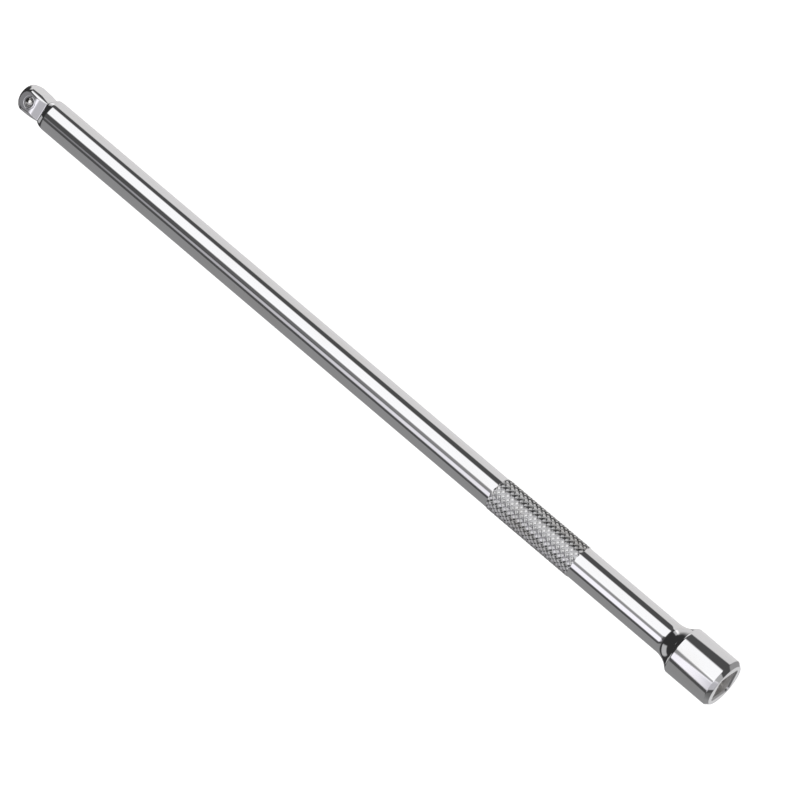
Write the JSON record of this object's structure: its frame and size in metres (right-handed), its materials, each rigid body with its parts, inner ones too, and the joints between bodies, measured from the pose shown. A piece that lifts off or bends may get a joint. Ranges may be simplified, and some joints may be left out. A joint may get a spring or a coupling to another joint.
{
  "type": "socket extension bar",
  "caption": "Long round bar with a square socket in a thicker head at one end, a knurled band, and a short square drive with a spring ball at the other.",
  "frame": {"origin": "on the bar's axis, halfway between the socket mouth and the drive tip", "axes": "+X along the bar towards the square drive's tip; +Z out of the drive flat that holds the detent ball; +Y completes a right-handed frame"},
  "size_m": [0.4572, 0.0252, 0.0252],
  "materials": {
    "polished_chrome": "bright nickel-chrome plate over a ground and polished bar, diamond knurl plated over",
    "bearing_steel": "bare hardened ball, lightly oiled",
    "spring_steel": "drawn spring wire"
  },
  "bodies": {
    "bar": {"bar": "polished_chrome", "detent_spring": "spring_steel"},
    "ball": {"detent_ball": "bearing_steel"}
  },
  "joints": [
    {"name": "ball_press", "type": "slide", "parent": "bar", "child": "ball", "axis": [0, 0, 1], "range_m": [-0.0015, 0], "stiffness_N_per_m": 2100, "springref_m": 0.0025, "deforming": ["detent_spring"]}
  ]
}
